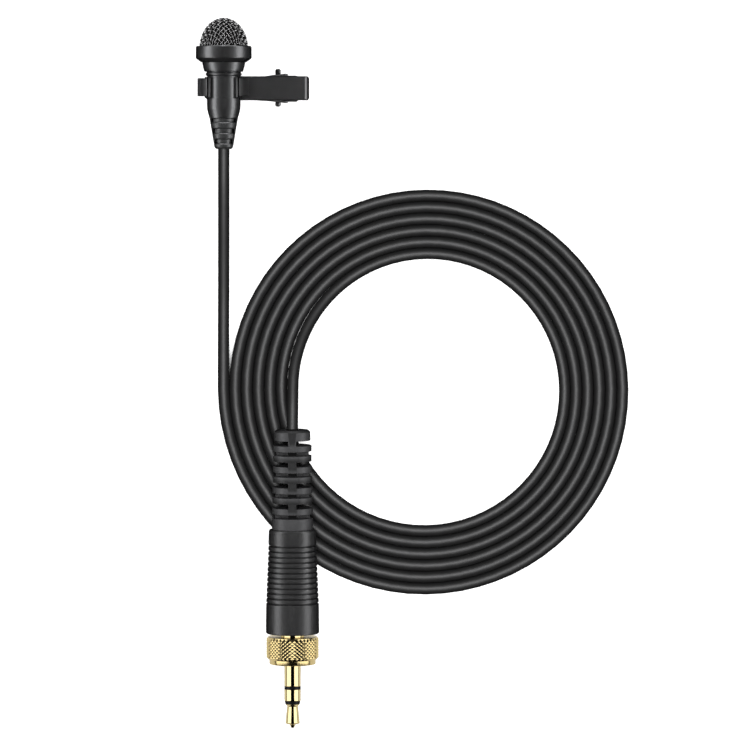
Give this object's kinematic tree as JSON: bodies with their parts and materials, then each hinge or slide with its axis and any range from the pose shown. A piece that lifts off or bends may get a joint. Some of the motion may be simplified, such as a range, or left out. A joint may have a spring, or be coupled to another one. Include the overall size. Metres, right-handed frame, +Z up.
{
  "type": "lavalier microphone",
  "caption": "Clip-on microphone with a wire-mesh windscreen, a turning spring clip, a cable wound in a flat coil and a gold 3.5 mm plug with a knurled locking ring.",
  "frame": {"origin": "middle of the footprint of the microphone and its clip, on the surface that the clip's lower arm lies on", "axes": "+Y along the microphone towards the windscreen, +X from the microphone along the clip's arms towards the middle of the coil, +Z up from the table"},
  "size_m": [0.0922, 0.1515, 0.0141],
  "materials": {
    "black_metal": "satin black paint on metal",
    "mesh_wire": "black woven wire, worn bright on its crowns",
    "foam": "open-cell black foam",
    "black_rubber": "matte moulded rubber",
    "black_plastic": "finely grained black plastic",
    "capsule_metal": "bright drawn metal",
    "felt": "dark felt",
    "board": "green solder mask",
    "copper": "bare copper",
    "spring_steel": "drawn steel",
    "gold": "polished gold plate",
    "cable_jacket": "matte black cable jacket"
  },
  "bodies": {
    "microphone": {"head_cup": "black_metal", "capsule_can": "capsule_metal", "dust_felt": "felt", "capsule_gasket": "black_rubber", "capsule_board": "board", "signal_wire": "copper", "ground_wire": "copper", "body_shell": "black_metal", "strain_relief": "black_rubber", "cable_ferrule": "capsule_metal", "cable_core_mic": "cable_jacket", "cable_mic_end": "cable_jacket", "cable_coil": "cable_jacket", "cable_plug_end": "cable_jacket", "plug_boot": "black_rubber", "cable_core_plug": "cable_jacket", "plug_barrel": "black_plastic", "plug_insert": "black_plastic", "plug_crimp": "capsule_metal", "tip_wire": "copper", "sleeve_wire": "copper", "jack_tip": "gold", "jack_insulator_front": "black_plastic", "jack_ring": "gold", "jack_insulator_rear": "black_plastic", "jack_sleeve": "gold", "retaining_ring": "spring_steel"},
    "windscreen": {"windscreen_mesh": "mesh_wire", "windscreen_collar": "black_metal", "foam_liner": "foam", "windscreen_grip_ring": "black_rubber"},
    "clip": {"holder_band": "black_metal", "holder_rivet": "spring_steel", "upper_arm": "black_metal", "axle_pin": "spring_steel", "torsion_spring": "spring_steel"},
    "jaw": {"lower_arm": "black_metal"},
    "lock": {"locking_ring": "gold"}
  },
  "joints": [
    {"name": "windscreen_slide", "type": "slide", "parent": "microphone", "child": "windscreen", "axis": [0, 1, 0], "range_m": [0, 0.012]},
    {"name": "clip_turn", "type": "hinge", "parent": "microphone", "child": "clip", "pos_m": [-0.00614, -0.00093, 0.0081], "axis": [0, 1, 0], "continuous": true},
    {"name": "jaw_hinge", "type": "hinge", "parent": "clip", "child": "jaw", "pos_m": [0.00536, -0.00093, 0.00195], "axis": [0, -1, 0], "range_deg": [0, 20], "stiffness_Nm_per_rad": 0.02, "springref_deg": -28.65, "deforming": ["torsion_spring"]},
    {"name": "lock_turn", "type": "hinge", "parent": "microphone", "child": "lock", "pos_m": [0.0085, -0.12155, 0.00565], "axis": [0, 0.9965, 0.0837], "continuous": true}
  ]
}
